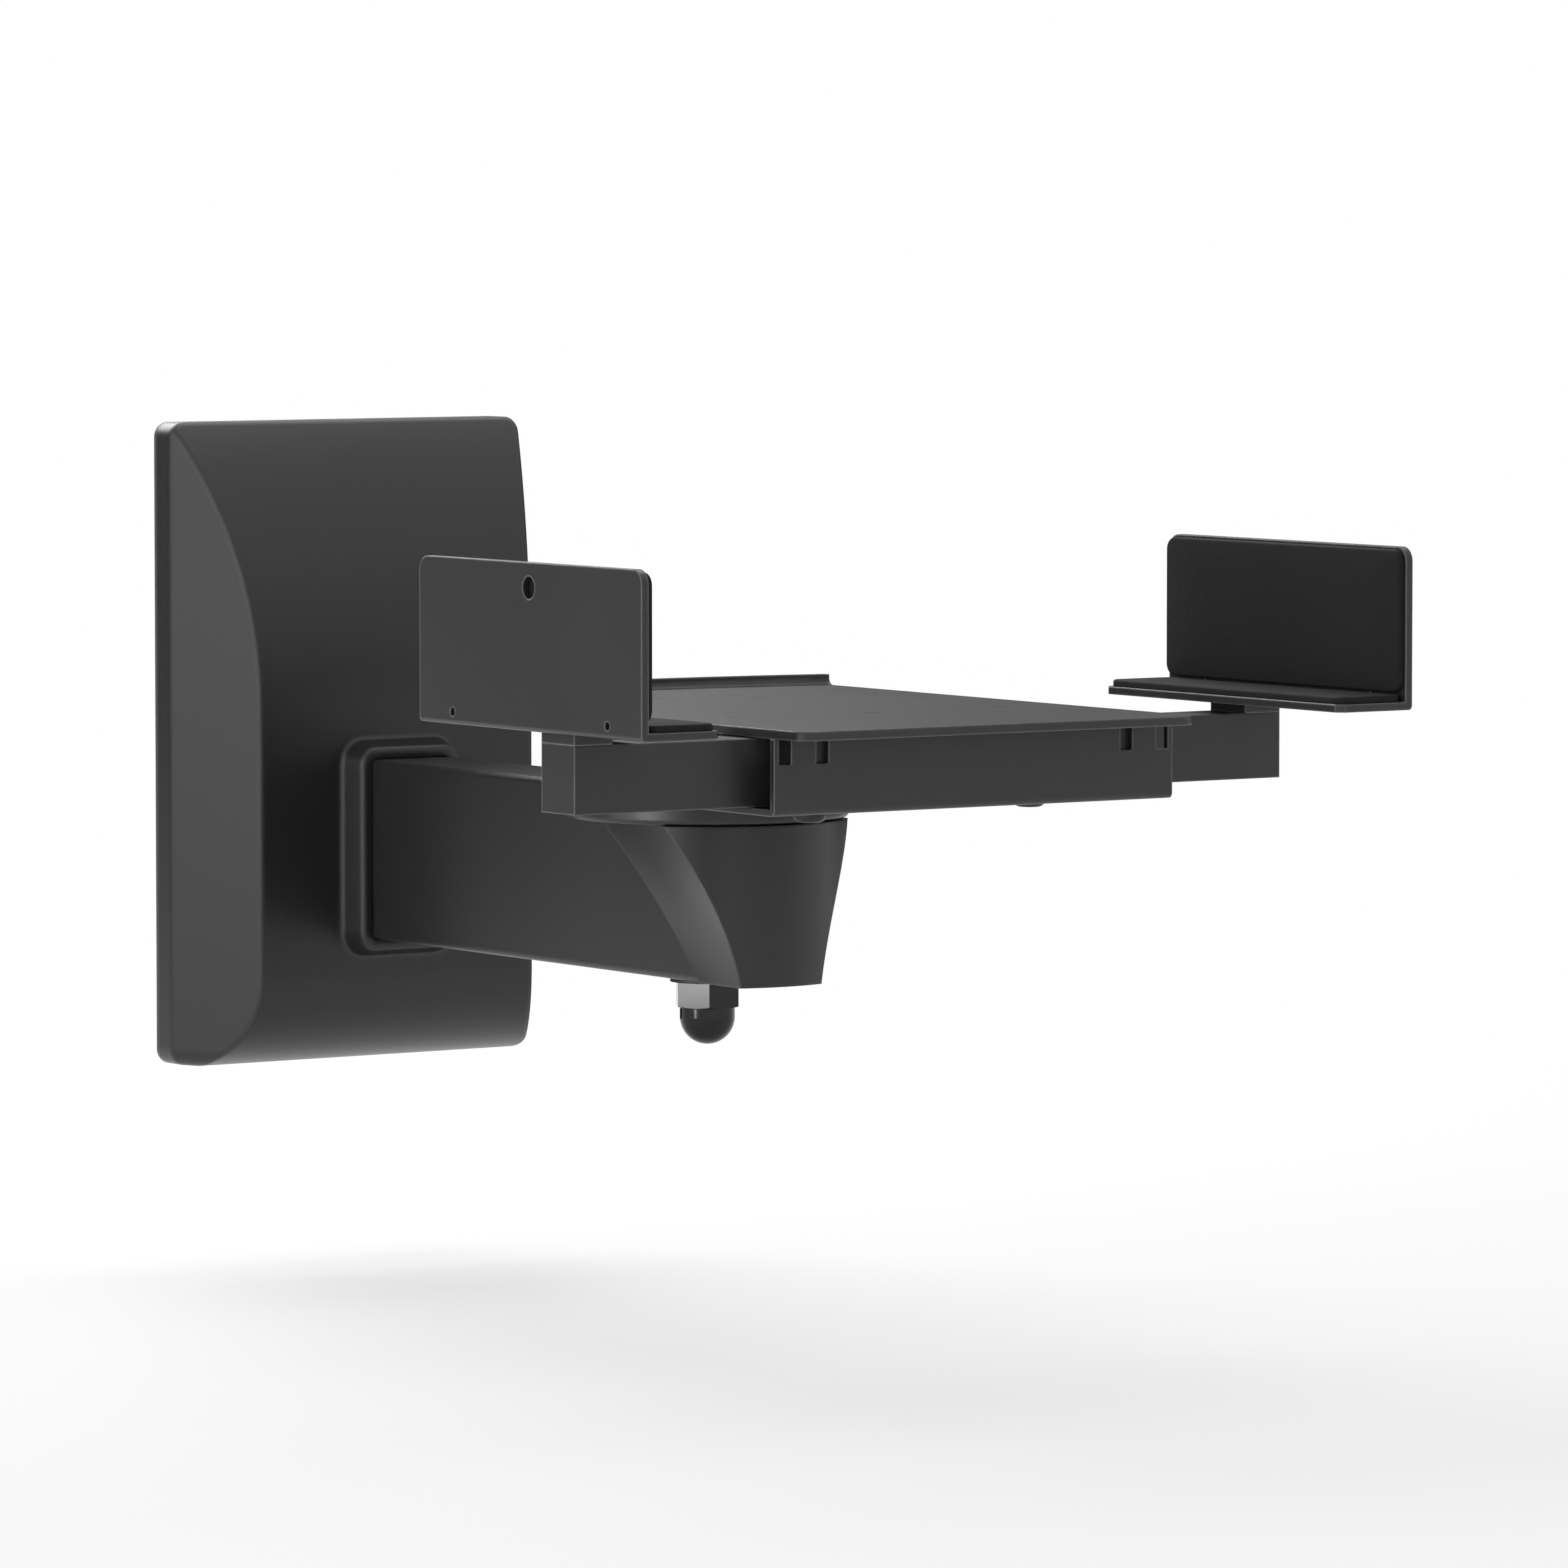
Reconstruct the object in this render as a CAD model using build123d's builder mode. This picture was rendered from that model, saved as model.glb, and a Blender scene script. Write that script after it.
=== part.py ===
"""Speaker wall bracket with a cast arm, a swivel and tilt head and two sliding clamps.

The wall is the plane Y = 0 and the bracket stands out from it towards -Y. X is the width and Z is up.
The origin is the centre of the wall plate's back face.
"""
import os
from math import cos, radians, sin

from build123d import *

# Fits between pieces
seat_gap = 0.3
slide_gap = 0.3
run_gap = 0.05
face_gap = 0.05
sink_angle = 90.0

# Wall cover
cover_w = 121.0
cover_h = 190.0
cover_rim = 8.6
cover_depth = 38.0
cover_inset = 13.5
cover_corner = 4.5
cover_wall = 2.5
cover_crest_z = 12.0
cover_foot_z = -68.0
collar_land = 6.5
collar_front_land = 3.2
collar_h = 8.0

# Wall plate
plate_t = 4.0
wall_hole_dx = 84.0
wall_hole_dz = 130.0
wall_hole_d = 6.5
tab_w = 20.0
tab_t = 3.0
cover_screw_d = 3.0
cover_screw_head_d = 5.6
cover_screw_len = 8.0
cover_screw_y = -5.6

# Arm
arm_w = 27.0
arm_top_z = -4.0
arm_bottom_z = -57.0
arm_edge_r = 1.5
flange_w = 60.0
flange_h = 78.0
flange_t = 8.0
arm_bolt_d = 6.0
arm_bolt_head_d = 11.5
arm_bolt_dx = 42.0
arm_bolt_dz = 60.0

# Hub at the arm's end, and the carved sweep on each side of it
pivot_y = -204.0
ledge_z = -12.0
hub_r = 39.6
sweep_top_back = 37.0
sweep_bottom_back = -16.0
sweep_top_deg = 51.0
sweep_bottom_deg = 20.0
sweep_top_hollow = 0.02
sweep_bottom_hollow = 0.004
sweep_root_bow = 0.3
sweep_nose_bow = 0.6
hub_steps = 3

# Swivel head
head_r = 39.8
head_top_z = 11.0
head_wall = 3.0
head_floor_t = 6.0
head_edge_r = 1.2
friction_r = 22.0
friction_t = 1.0
friction_sunk = 0.8

# Pivot bolt and acorn nut
pivot_d = 10.0
pivot_af = 17.0
pivot_head_h = 6.4
nut_washer_d = 21.0
nut_washer_t = 1.2
nut_hex_h = 7.3
nut_dome_d = 15.6
nut_dome_h = 10.5
nut_bore_depth = 12.0
nut_chamfer = 0.35

# Tilt joint
tilt_z = 6.0
tilt_d = 6.0
tilt_af = 10.0
tilt_head_h = 4.0
tilt_nut_h = 5.0
tilt_tip = 1.2
tilt_washer_d = 12.0
tilt_washer_t = 1.0
lug_x = 14.0
lug_t = 6.0
lug_r = 7.0
ear_t = 2.5
bracket_t = 2.5
bracket_len = 24.0
rivet_d = 4.0
rivet_head_d = 7.0
rivet_head_h = 1.4
bracket_rivet_dx = 26.0
bracket_rivet_dy = 14.0

# Platform
platform_w = 130.0
platform_t = 2.5
platform_top_z = 21.5
platform_front_y = -348.0
platform_back_y = -167.0
platform_bow = 8.0
platform_corner = 5.0
rim_t = 2.5
rim_h = 3.0
rim_bend_r = 2.0

# Channel and rails
channel_overhang = 0.5
channel_front_y = -335.0
channel_bottom_z = -1.7
channel_t = 1.8
channel_bend_r = 1.6
rail_front_y = -325.0
rail_d = 16.0
rail_wall = 1.8
rail_overlap = 20.0
rail_end_inset = 4.0
notch_w = 4.0
notch_h = 7.0
notch_in = 9.5
notch_pitch = 12.0
guide_recess = 5.0
channel_rivet_pitch = 44.0
channel_rivet_count = 3
channel_lip = 11.0
lock_d = 5.0
lock_head_d = 9.0
lock_head_h = 3.4
lock_head_r = 2.0
lock_x = 42.0
lock_hex_af = 3.0
lock_hex_depth = 2.0

# Clamps
clamp_outer_x = 126.0
clamp_t = 2.2
clamp_len = 109.0
clamp_mid_y = -309.0
clamp_top_z = 66.5
clamp_corner = 4.0
clamp_bend_r = 1.2
clamp_hole_d = 6.0
clamp_hole_drop = 6.7
relief_d = 2.4
relief_pitch = 76.0
base_reach = 25.0
base_corner = 2.0
pad_t = 2.2
pad_margin = 0.8
spacer_len = 12.0
rail_screw_d = 4.0
rail_screw_head_d = 6.6
rail_screw_dy = 8.0

# Places worked out from the sizes above
arm_mid_z = (arm_top_z + arm_bottom_z) / 2
arm_h = arm_top_z - arm_bottom_z
plate_w = cover_w - 2 * (cover_wall + seat_gap)
plate_h = cover_h - 2 * (cover_wall + seat_gap)
tab_reach = cover_rim - seat_gap
head_bottom_z = ledge_z + face_gap + friction_t - friction_sunk + face_gap
head_floor_z = head_bottom_z + head_floor_t
platform_under_z = platform_top_z - platform_t
ear_x = lug_x + lug_t + slide_gap
channel_w = platform_w + 2 * channel_overhang
channel_floor_z = channel_bottom_z + channel_t
rail_bottom_z = channel_floor_z + slide_gap
rail_top_z = platform_under_z - slide_gap
rail_h = rail_top_z - rail_bottom_z
rail_back_y = rail_front_y + 2 * rail_d + slide_gap
channel_back_y = rail_back_y + slide_gap + channel_t
base_z = platform_top_z + slide_gap
rail_screw_len = clamp_t + base_z - rail_top_z + 2 * rail_wall
ear_out_x = ear_x + ear_t
nut_top_z = arm_bottom_z - face_gap - nut_washer_t
pivot_axis = Axis((0, pivot_y, 0), (0, 0, 1))
arm_back = Plane((0, 0, arm_mid_z), x_dir=(1, 0, 0), z_dir=(0, 1, 0))
bracket_rivet_spots = [
    Location((0, pivot_y, 0)) * spot
    for spot in GridLocations(bracket_rivet_dx, bracket_rivet_dy, 2, 2).local_locations
]
channel_rivet_spots = [
    Location((0, channel_back_y + channel_lip / 2, 0)) * spot
    for spot in GridLocations(channel_rivet_pitch, 0, channel_rivet_count, 1).local_locations
]
rivet_spots = bracket_rivet_spots + channel_rivet_spots


def write(name: str, part: Part) -> None:
    """Label one finished piece and write it to its own file."""
    part.label = name
    export_step(part, f"parts/{name}.step")


def hexagon(across_flats: float) -> Sketch:
    """Add a hexagon of the given width across flats to the sketch in hand."""
    return RegularPolygon(across_flats / 2, 6, major_radius=False)


def cover_form(inset: float) -> Part:
    """Return the cover's closed form, drawn in by inset on its sides and its front."""
    width = cover_w - 2 * inset
    height = cover_h - 2 * inset
    depth = cover_depth - inset
    with BuildPart() as form:
        with BuildSketch(Plane.XZ):
            RectangleRounded(width, height, cover_corner - inset)
        extrude(amount=cover_rim)
        with BuildSketch(Plane.XZ.offset(cover_rim)):
            RectangleRounded(width, height, cover_corner - inset)
        with BuildSketch(Plane.XZ.offset(depth)):
            RectangleRounded(width - 2 * cover_inset, height, cover_corner - inset)
        loft()
        with BuildSketch(Plane.YZ):
            with BuildLine():
                front = Line((-depth, cover_foot_z), (-depth, cover_crest_z))
                crown = TangentArc(front @ 1, (-cover_rim, height / 2), tangent=(0, 1))
                sole = TangentArc(front @ 0, (-cover_rim, -height / 2), tangent=(0, -1))
                Polyline(crown @ 1, (0, height / 2), (0, -height / 2), sole @ 1)
            make_face()
        extrude(amount=width / 2, both=True, mode=Mode.INTERSECT)
    return form.part


def lock_screw(length: float) -> Part:
    """Return a round-headed lock screw, head above Z = 0 and shank below it."""
    with BuildPart() as body:
        with Locations((0, 0, -length / 2)):
            Cylinder(lock_d / 2, length)
        with Locations((0, 0, lock_head_h / 2)):
            Cylinder(lock_head_d / 2, lock_head_h)
        fillet(body.faces().sort_by(Axis.Z)[-1].edges(), lock_head_r)
    return body.part


def countersunk(shank_d: float, length: float, head_d: float) -> Part:
    """Return a flush screw whose flat head lies in the plane Z = 0, shank below it."""
    head_h = (head_d - shank_d) / 2
    with BuildPart() as body:
        with Locations((0, 0, -length / 2)):
            Cylinder(shank_d / 2, length)
        with Locations((0, 0, -head_h / 2)):
            Cone(shank_d / 2, head_d / 2, head_h)
    return body.part


def rivet(grip: float) -> Part:
    """Return a rivet with its flush head in the plane Z = 0 and its closing head below the grip."""
    with BuildPart() as body:
        add(countersunk(rivet_d, grip, rivet_head_d))
        with Locations((0, 0, -grip - rivet_head_h / 2)):
            Cylinder(rivet_head_d / 2, rivet_head_h)
    return body.part


def rail_mid_y(side: int) -> float:
    """Return the depth of a rail's middle: the left rail (-1) runs in front of the right one (1)."""
    rank = (side + 1) / 2
    return rail_front_y + rail_d / 2 + rank * (rail_d + slide_gap)


def arm_plane(depth: float) -> Plane:
    """Return the upright plane across the arm's middle at a depth out from the wall."""
    return Plane((0, -depth, arm_mid_z), x_dir=(1, 0, 0), z_dir=(0, -1, 0))


def hub_plane(fraction: float) -> Plane:
    """Return the level plane at a fraction of the way from the hub's ledge down to the arm's bottom."""
    return Plane((0, pivot_y, ledge_z + (arm_bottom_z - ledge_z) * fraction))


def bowed(top: float, bottom: float, fraction: float, bow: float) -> float:
    """Return a value on the way from top to bottom that runs ahead of the fraction by the bow."""
    return top + (bottom - top) * (fraction + bow * fraction * (1 - fraction))


def hub_outline(fraction: float) -> None:
    """Sketch the hub's plan: a round nose between two hollow sweeps that draw in towards the bottom."""
    back = bowed(sweep_top_back, sweep_bottom_back, fraction, sweep_root_bow)
    edge_deg = bowed(sweep_top_deg, sweep_bottom_deg, fraction, sweep_nose_bow)
    root = Vector(arm_w / 2, back)
    nose = Vector(hub_r * sin(radians(edge_deg)), -hub_r * cos(radians(edge_deg)))
    depth = bowed(sweep_top_hollow, sweep_bottom_hollow, fraction, 0)
    chord = nose - root
    hollow = (root + nose) / 2 + Vector(chord.Y, -chord.X) * depth
    with BuildLine() as outline:
        ThreePointArc(root, hollow, nose)
        ThreePointArc(nose, (0, -hub_r), (-nose.X, nose.Y))
        ThreePointArc((-nose.X, nose.Y), (-hollow.X, hollow.Y), (-root.X, root.Y))
        Line((-root.X, root.Y), root)
    make_face(outline.edges())


def lug_outline(root_z: float) -> None:
    """Sketch a lug round the tilt bolt that runs from its root to a round end, with the bolt's hole."""
    with Locations((pivot_y, (root_z + tilt_z) / 2)):
        Rectangle(2 * lug_r, abs(tilt_z - root_z))
    with Locations((pivot_y, tilt_z)):
        Circle(lug_r)
        Circle(tilt_d / 2 + run_gap, mode=Mode.SUBTRACT)


def platform_outline(rear_cut: float, mode: Mode = Mode.ADD) -> None:
    """Sketch the platform's plan, its bowed rear edge drawn forward by rear_cut."""
    half = platform_w / 2
    rear = platform_back_y - rear_cut
    with BuildLine() as outline:
        bow = ThreePointArc((-half, rear), (0, rear + platform_bow), (half, rear))
        Polyline(bow @ 1, (half, platform_front_y), (-half, platform_front_y), bow @ 0)
    make_face(outline.edges(), mode=mode)


def base_outline(side: int, outer_x: float, inner_x: float, margin: float) -> None:
    """Sketch a clamp's base between two distances from the middle, its inner corners cut off."""
    half = clamp_len / 2 - margin
    with BuildLine() as outline:
        Polyline(
            (side * outer_x, clamp_mid_y - half),
            (side * (inner_x + base_corner), clamp_mid_y - half),
            (side * inner_x, clamp_mid_y - half + base_corner),
            (side * inner_x, clamp_mid_y + half - base_corner),
            (side * (inner_x + base_corner), clamp_mid_y + half),
            (side * outer_x, clamp_mid_y + half),
            close=True,
        )
    make_face(outline.edges())


os.makedirs("parts", exist_ok=True)

# Wall plate, with the wall screw holes, the arm's countersunk holes and two tabs for the cover
with BuildPart() as wall_plate:
    with BuildSketch(Plane.XZ):
        RectangleRounded(plate_w, plate_h, cover_corner - cover_wall - seat_gap)
        with GridLocations(wall_hole_dx, wall_hole_dz, 2, 2):
            Circle(wall_hole_d / 2, mode=Mode.SUBTRACT)
    extrude(amount=plate_t)
    for end in (-1, 1):
        with Locations((0, -tab_reach / 2, end * (plate_h - tab_t) / 2)):
            Box(tab_w, tab_reach, tab_t)
        with Locations((0, cover_screw_y, end * plate_h / 2)):
            Cylinder(cover_screw_d / 2 + run_gap, 4 * tab_t, mode=Mode.SUBTRACT)
    with Locations(arm_back):
        with GridLocations(arm_bolt_dx, arm_bolt_dz, 2, 2):
            CounterSinkHole(
                arm_bolt_d / 2 + run_gap, arm_bolt_head_d / 2 + run_gap, counter_sink_angle=sink_angle
            )
write("wall_plate", wall_plate.part)

# Cover: a thin shell of the form, with a bevelled collar where the arm comes out
with BuildPart() as wall_cover:
    add(cover_form(0))
    add(cover_form(cover_wall), mode=Mode.SUBTRACT)
    with BuildSketch(arm_plane(cover_depth - cover_wall)):
        RectangleRounded(arm_w + 2 * collar_land, arm_h + 2 * collar_land, arm_edge_r + collar_land)
    with BuildSketch(arm_plane(cover_depth + collar_h)):
        RectangleRounded(
            arm_w + 2 * collar_front_land, arm_h + 2 * collar_front_land, arm_edge_r + collar_front_land
        )
    loft()
    with BuildSketch(arm_plane(0)):
        RectangleRounded(arm_w + 2 * seat_gap, arm_h + 2 * seat_gap, arm_edge_r + seat_gap)
    extrude(amount=cover_depth + collar_h, mode=Mode.SUBTRACT)
    for end in (-1, 1):
        with Locations((0, cover_screw_y, end * cover_h / 2)):
            Cylinder(cover_screw_d / 2 + run_gap, 3 * cover_wall, mode=Mode.SUBTRACT)
        sink = (cover_screw_head_d - cover_screw_d) / 2
        turn = 0 if end > 0 else 180
        with Locations(Location((0, cover_screw_y, end * (cover_h - sink) / 2), (turn, 0, 0))):
            Cone(cover_screw_d / 2 + run_gap, cover_screw_head_d / 2 + run_gap, sink, mode=Mode.SUBTRACT)
write("wall_cover", wall_cover.part)

with BuildPart() as cover_screws:
    for end in (-1, 1):
        turn = 0 if end > 0 else 180
        with Locations(Location((0, cover_screw_y, end * cover_h / 2), (turn, 0, 0))):
            add(countersunk(cover_screw_d, cover_screw_len, cover_screw_head_d))
write("cover_screws", cover_screws.part)

# Arm: back flange, slab and carved hub, cast as one piece
with BuildPart() as arm:
    with BuildSketch(arm_plane(plate_t)):
        RectangleRounded(flange_w, flange_h, arm_edge_r)
        with GridLocations(arm_bolt_dx, arm_bolt_dz, 2, 2):
            Circle(arm_bolt_d / 2 + run_gap, mode=Mode.SUBTRACT)
    extrude(amount=flange_t)
    with BuildSketch(arm_plane(plate_t)):
        RectangleRounded(arm_w, arm_h, arm_edge_r)
    extrude(amount=-pivot_y - sweep_bottom_back - plate_t)
    for step in range(hub_steps, -1, -1):
        with BuildSketch(hub_plane(step / hub_steps)):
            hub_outline(step / hub_steps)
    loft()
    with Locations((0, pivot_y, ledge_z)):
        Cylinder(
            head_r + slide_gap, arm_h, align=(Align.CENTER, Align.CENTER, Align.MIN), mode=Mode.SUBTRACT
        )
        Cylinder(pivot_d / 2 + run_gap, 2 * arm_h, mode=Mode.SUBTRACT)
write("arm", arm.part)

with BuildPart() as arm_bolts:
    with Locations(arm_back):
        with GridLocations(arm_bolt_dx, arm_bolt_dz, 2, 2):
            add(countersunk(arm_bolt_d, plate_t + flange_t, arm_bolt_head_d))
write("arm_bolts", arm_bolts.part)

# Swivel head: a round cup on the hub's ledge, with two lugs inside for the tilt bolt
with BuildPart() as swivel_head:
    with BuildSketch(Plane.XY.offset(head_bottom_z)):
        with Locations((0, pivot_y)):
            Circle(head_r)
    extrude(amount=head_top_z - head_bottom_z)
    fillet(swivel_head.edges(), head_edge_r)
    with BuildSketch(Plane.XY.offset(head_floor_z)):
        with Locations((0, pivot_y)):
            Circle(head_r - head_wall)
    extrude(amount=head_top_z - head_floor_z, mode=Mode.SUBTRACT)
    for lug_start in (-lug_x - lug_t, lug_x):
        with BuildSketch(Plane.YZ.offset(lug_start)):
            lug_outline(head_floor_z)
        extrude(amount=lug_t)
    with Locations((0, pivot_y, head_bottom_z)):
        Cylinder(friction_r + run_gap, 2 * friction_sunk, mode=Mode.SUBTRACT)
        Cylinder(pivot_d / 2 + run_gap, 4 * head_floor_t, mode=Mode.SUBTRACT)
write("swivel_head", swivel_head.part)

with BuildPart() as friction_washer:
    with BuildSketch(Plane.XY.offset(ledge_z + face_gap)):
        with Locations((0, pivot_y)):
            Circle(friction_r)
            Circle(pivot_d / 2 + run_gap, mode=Mode.SUBTRACT)
    extrude(amount=friction_t)
write("friction_washer", friction_washer.part)

with BuildPart() as pivot_bolt:
    with BuildSketch(Plane.XY.offset(head_floor_z)):
        with Locations((0, pivot_y)):
            hexagon(pivot_af)
    extrude(amount=pivot_head_h)
    with BuildSketch(Plane.XY.offset(head_floor_z)):
        with Locations((0, pivot_y)):
            Circle(pivot_d / 2)
    extrude(amount=nut_top_z - nut_bore_depth - head_floor_z)
write("pivot_bolt", pivot_bolt.part)

with BuildPart() as nut_washer:
    with BuildSketch(Plane.XY.offset(nut_top_z)):
        with Locations((0, pivot_y)):
            Circle(nut_washer_d / 2)
            Circle(pivot_d / 2 + run_gap, mode=Mode.SUBTRACT)
    extrude(amount=nut_washer_t)
write("nut_washer", nut_washer.part)

# Acorn nut: a chamfered hexagon with a domed cap under it
nut_foot_z = nut_top_z - nut_hex_h
dome_wall = nut_dome_h - nut_dome_d / 2
with BuildPart() as acorn_nut:
    with BuildSketch(Plane.XY.offset(nut_foot_z)):
        with Locations((0, pivot_y)):
            hexagon(pivot_af)
    extrude(amount=nut_hex_h)
    with BuildSketch(Plane((0, pivot_y, nut_foot_z), x_dir=(1, 0, 0), z_dir=(0, -1, 0))):
        with BuildLine():
            shoulder = Polyline((0, 0), (nut_dome_d / 2, 0), (nut_dome_d / 2, -dome_wall))
            dome = TangentArc(shoulder @ 1, (0, -nut_dome_h), tangent=(0, -1))
            Line(dome @ 1, (0, 0))
        make_face()
    revolve(axis=pivot_axis)
    with BuildSketch(Plane((0, pivot_y, nut_foot_z), x_dir=(1, 0, 0), z_dir=(0, -1, 0))):
        with BuildLine():
            Polyline(
                (pivot_af / 2, 0),
                (pivot_af, 0),
                (pivot_af, (pivot_af / 2) * nut_chamfer),
                close=True,
            )
        make_face()
    revolve(axis=pivot_axis, mode=Mode.SUBTRACT)
    with Locations((0, pivot_y, nut_top_z)):
        Cylinder(pivot_d / 2 + run_gap, 2 * (nut_bore_depth + run_gap), mode=Mode.SUBTRACT)
write("acorn_nut", acorn_nut.part)

# Platform: one folded sheet with a bowed rear edge and a turned-up rim along it
with BuildPart() as platform:
    with BuildSketch(Plane.XY.offset(platform_under_z)) as plan:
        platform_outline(0)
        fillet(plan.vertices().group_by(Axis.Y)[0], platform_corner)
    extrude(amount=platform_t)
    with BuildSketch(Plane.XY.offset(platform_top_z)):
        platform_outline(0)
        platform_outline(rim_t, mode=Mode.SUBTRACT)
    extrude(amount=rim_h)
    rim_foot = platform.edges().filter_by(GeomType.CIRCLE).group_by(Axis.Z)[-2].sort_by(SortBy.LENGTH)[-1]
    fillet(rim_foot, rim_bend_r)
    with Locations(*(spot * Location((0, 0, platform_top_z)) for spot in rivet_spots)):
        CounterSinkHole(rivet_d / 2 + run_gap, rivet_head_d / 2 + run_gap, counter_sink_angle=sink_angle)
write("platform", platform.part)

# Tilt bracket: a folded U whose ears hang down beside the head's lugs
with BuildPart() as tilt_bracket:
    with BuildSketch(Plane.XY.offset(platform_under_z - bracket_t)):
        with Locations((0, pivot_y)):
            Rectangle(2 * (ear_x + ear_t), bracket_len)
            with GridLocations(bracket_rivet_dx, bracket_rivet_dy, 2, 2):
                Circle(rivet_d / 2 + run_gap, mode=Mode.SUBTRACT)
    extrude(amount=bracket_t)
    for ear_start in (-ear_x - ear_t, ear_x):
        with BuildSketch(Plane.YZ.offset(ear_start)):
            lug_outline(platform_under_z - bracket_t)
        extrude(amount=ear_t)
write("tilt_bracket", tilt_bracket.part)

with BuildPart() as bracket_rivets:
    with Locations((0, pivot_y, platform_top_z)):
        with GridLocations(bracket_rivet_dx, bracket_rivet_dy, 2, 2):
            add(rivet(platform_t + bracket_t))
write("bracket_rivets", bracket_rivets.part)

tilt_plane = Plane((0, pivot_y, tilt_z), x_dir=(0, 1, 0), z_dir=(1, 0, 0))
with BuildPart() as tilt_bolt:
    with BuildSketch(tilt_plane.offset(ear_out_x + tilt_washer_t)):
        hexagon(tilt_af)
    extrude(amount=tilt_head_h)
    with BuildSketch(tilt_plane.offset(ear_out_x + tilt_washer_t)):
        Circle(tilt_d / 2)
    extrude(amount=-2 * (ear_out_x + tilt_washer_t) - tilt_nut_h - tilt_tip)
write("tilt_bolt", tilt_bolt.part)

with BuildPart() as tilt_nut:
    with BuildSketch(tilt_plane.offset(-ear_out_x - tilt_washer_t)):
        hexagon(tilt_af)
        Circle(tilt_d / 2 + run_gap, mode=Mode.SUBTRACT)
    extrude(amount=-tilt_nut_h)
write("tilt_nut", tilt_nut.part)

with BuildPart() as tilt_washers:
    for washer_start in (ear_out_x, -ear_out_x - tilt_washer_t):
        with BuildSketch(tilt_plane.offset(washer_start)):
            Circle(tilt_washer_d / 2)
            Circle(tilt_d / 2 + run_gap, mode=Mode.SUBTRACT)
        extrude(amount=tilt_washer_t)
write("tilt_washers", tilt_washers.part)

# Outer channel under the platform's front, with notches in its front wall and a riveted rear lip
with BuildPart() as outer_channel:
    with BuildSketch(Plane.YZ.offset(-channel_w / 2)) as section:
        with BuildLine():
            Polyline(
                (channel_front_y, platform_under_z),
                (channel_front_y, channel_bottom_z),
                (channel_back_y, channel_bottom_z),
                (channel_back_y, platform_under_z - channel_t),
                (channel_back_y + channel_lip, platform_under_z - channel_t),
                (channel_back_y + channel_lip, platform_under_z),
                (channel_back_y - channel_t, platform_under_z),
                (channel_back_y - channel_t, channel_floor_z),
                (channel_front_y + channel_t, channel_floor_z),
                (channel_front_y + channel_t, platform_under_z),
                close=True,
            )
        make_face()
        fillet(section.vertices().group_by(Axis.Y)[0], channel_bend_r)
    extrude(amount=channel_w)
    for side in (-1, 1):
        with Locations((side * (channel_w / 2 - notch_in), channel_front_y, platform_under_z)):
            with GridLocations(notch_pitch, 0, 2, 1):
                Box(notch_w, 3 * channel_t, 2 * notch_h, mode=Mode.SUBTRACT)
        with Locations((side * lock_x, rail_mid_y(side), channel_bottom_z)):
            Cylinder(lock_d / 2 + run_gap, 4 * channel_t, mode=Mode.SUBTRACT)
    with Locations(*(spot * Location((0, 0, platform_under_z)) for spot in channel_rivet_spots)):
        Cylinder(rivet_d / 2 + run_gap, 4 * channel_t, mode=Mode.SUBTRACT)
write("outer_channel", outer_channel.part)

with BuildPart() as channel_rivets:
    with Locations(*(spot * Location((0, 0, platform_top_z)) for spot in channel_rivet_spots)):
        add(rivet(platform_t + channel_t))
write("channel_rivets", channel_rivets.part)

with BuildPart() as guide_strip:
    with BuildSketch(Plane.XY.offset(channel_floor_z)):
        guide_front_y = channel_front_y + channel_t
        guide_d = rail_front_y - slide_gap - guide_front_y
        with Locations((0, guide_front_y + guide_d / 2)):
            Rectangle(channel_w - 2 * guide_recess, guide_d)
    extrude(amount=rail_top_z - channel_floor_z)
write("guide_strip", guide_strip.part)

with BuildPart() as lock_screws:
    for side in (-1, 1):
        with Locations(Location((side * lock_x, rail_mid_y(side), channel_bottom_z), (180, 0, 0))):
            add(lock_screw(channel_t + slide_gap - face_gap))
        with BuildSketch(Plane.XY.offset(channel_bottom_z - lock_head_h)):
            with Locations((side * lock_x, rail_mid_y(side))):
                hexagon(lock_hex_af)
        extrude(amount=lock_hex_depth, mode=Mode.SUBTRACT)
write("lock_screws", lock_screws.part)

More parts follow.
